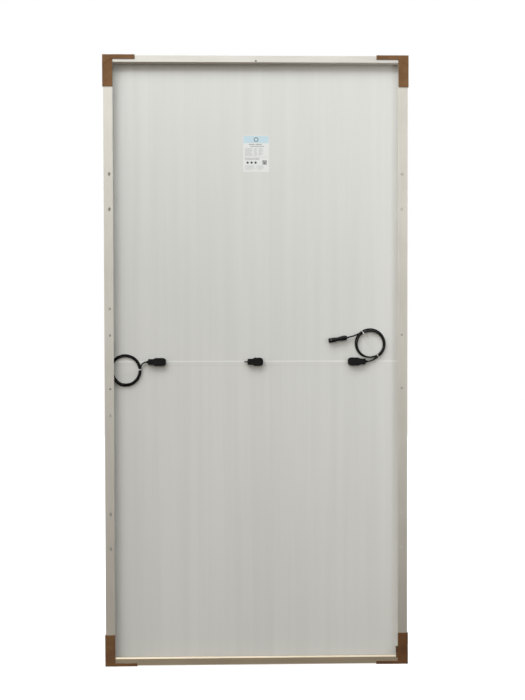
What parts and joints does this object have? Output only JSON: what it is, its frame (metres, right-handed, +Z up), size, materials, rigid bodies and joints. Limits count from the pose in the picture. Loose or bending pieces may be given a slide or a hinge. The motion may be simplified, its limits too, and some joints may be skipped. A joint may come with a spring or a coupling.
{
  "type": "solar panel",
  "caption": "Framed glass photovoltaic module seen from its rear, with split junction boxes, coiled leads, plug connectors and folded board corner protectors.",
  "frame": {"origin": "centre of the mounting-slot pattern, in the plane of the frame's rear flanges", "axes": "+Z up along the long side, +X along the short side, +Y from the rear towards the glass"},
  "size_m": [1.14, 0.041, 2.285],
  "materials": {
    "frame_aluminium": "clear anodised, satin",
    "key_aluminium": "mill finish",
    "solar_glass": "anti-reflective, fine rolled texture",
    "encapsulant": "clear laminated film",
    "solar_cell": "dark blue silicon",
    "ribbon_metal": "tinned, bright",
    "backsheet_film": "white film, slightly satin",
    "sealant": "white silicone",
    "label_paper": "matt printed film",
    "box_plastic": "fine moulded texture",
    "lid_plastic": "fine moulded texture",
    "gland_rubber": "matt",
    "diode_epoxy": "moulded epoxy",
    "terminal_copper": "tinned copper",
    "potting": "silicone gel",
    "cable_jacket": "matt, slightly smooth",
    "connector_plastic": "fine moulded texture",
    "seal_rubber": "matt",
    "contact_metal": "tin plated",
    "tie_plastic": "smooth",
    "packing_board": "folded corrugated board"
  },
  "bodies": {
    "module": {"backsheet": "backsheet_film", "blanking_plug_centre": "gland_rubber", "box_adhesive_pads": "sealant", "bus_ribbons_centre": "ribbon_metal", "bus_ribbons_lower": "ribbon_metal", "bus_ribbons_upper": "ribbon_metal", "bypass_diodes": "diode_epoxy", "cable_gland_left": "gland_rubber", "cable_gland_right": "gland_rubber", "cell_ribbons_lower": "ribbon_metal", "cell_ribbons_upper": "ribbon_metal", "cells_column_1": "solar_cell", "cells_column_2": "solar_cell", "cells_column_3": "solar_cell", "cells_column_4": "solar_cell", "cells_column_5": "solar_cell", "cells_column_6": "solar_cell", "coil_tie_left": "tie_plastic", "coil_tie_right": "tie_plastic", "connector_left_body": "connector_plastic", "connector_left_contact": "contact_metal", "connector_left_seal": "seal_rubber", "connector_right_body": "connector_plastic", "connector_right_contact": "contact_metal", "connector_right_seal": "seal_rubber", "corner_key_bottom_left": "key_aluminium", "corner_key_bottom_right": "key_aluminium", "corner_key_top_left": "key_aluminium", "corner_key_top_right": "key_aluminium", "edge_sealant": "sealant", "front_encapsulant": "encapsulant", "front_glass": "solar_glass", "junction_box_base_centre": "box_plastic", "junction_box_base_left": "box_plastic", "junction_box_base_right": "box_plastic", "lead_left_coil": "cable_jacket", "lead_left_stub": "cable_jacket", "lead_left_tail": "cable_jacket", "lead_right_coil": "cable_jacket", "lead_right_stub": "cable_jacket", "lead_right_tail": "cable_jacket", "nameplate_label": "label_paper", "potting_compound": "potting", "rail_bottom": "frame_aluminium", "rail_left": "frame_aluminium", "rail_right": "frame_aluminium", "rail_top": "frame_aluminium", "rear_encapsulant": "encapsulant", "terminal_plates": "terminal_copper"},
    "lid_left": {"junction_box_lid_left": "lid_plastic"},
    "lid_centre": {"junction_box_lid_centre": "lid_plastic"},
    "lid_right": {"junction_box_lid_right": "lid_plastic"},
    "nut_left": {"connector_left_nut": "connector_plastic"},
    "nut_right": {"connector_right_nut": "connector_plastic"},
    "protector_top_left": {"corner_protector_top_left": "packing_board"},
    "protector_top_right": {"corner_protector_top_right": "packing_board"},
    "protector_bottom_left": {"corner_protector_bottom_left": "packing_board"},
    "protector_bottom_right": {"corner_protector_bottom_right": "packing_board"}
  },
  "joints": [
    {"name": "lid_left_pull", "type": "slide", "parent": "module", "child": "lid_left", "axis": [0, -1, 0], "range_m": [0, 0.03]},
    {"name": "lid_centre_pull", "type": "slide", "parent": "module", "child": "lid_centre", "axis": [0, -1, 0], "range_m": [0, 0.03]},
    {"name": "lid_right_pull", "type": "slide", "parent": "module", "child": "lid_right", "axis": [0, -1, 0], "range_m": [0, 0.03]},
    {"name": "nut_left_turn", "type": "hinge", "parent": "module", "child": "nut_left", "pos_m": [-0.5442, 0.0186, 0.012], "axis": [0, 0, -1], "range_deg": [0, 540]},
    {"name": "nut_right_turn", "type": "hinge", "parent": "module", "child": "nut_right", "pos_m": [0.3423, 0.0186, 0.0904], "axis": [0.9849, 0, 0.173], "range_deg": [0, 540]},
    {"name": "protector_top_left_pull", "type": "slide", "parent": "module", "child": "protector_top_left", "axis": [-0.7071, 0, 0.7071], "range_m": [0, 0.05]},
    {"name": "protector_top_right_pull", "type": "slide", "parent": "module", "child": "protector_top_right", "axis": [0.7071, 0, 0.7071], "range_m": [0, 0.05]},
    {"name": "protector_bottom_left_pull", "type": "slide", "parent": "module", "child": "protector_bottom_left", "axis": [-0.7071, 0, -0.7071], "range_m": [0, 0.05]},
    {"name": "protector_bottom_right_pull", "type": "slide", "parent": "module", "child": "protector_bottom_right", "axis": [0.7071, 0, -0.7071], "range_m": [0, 0.05]}
  ]
}
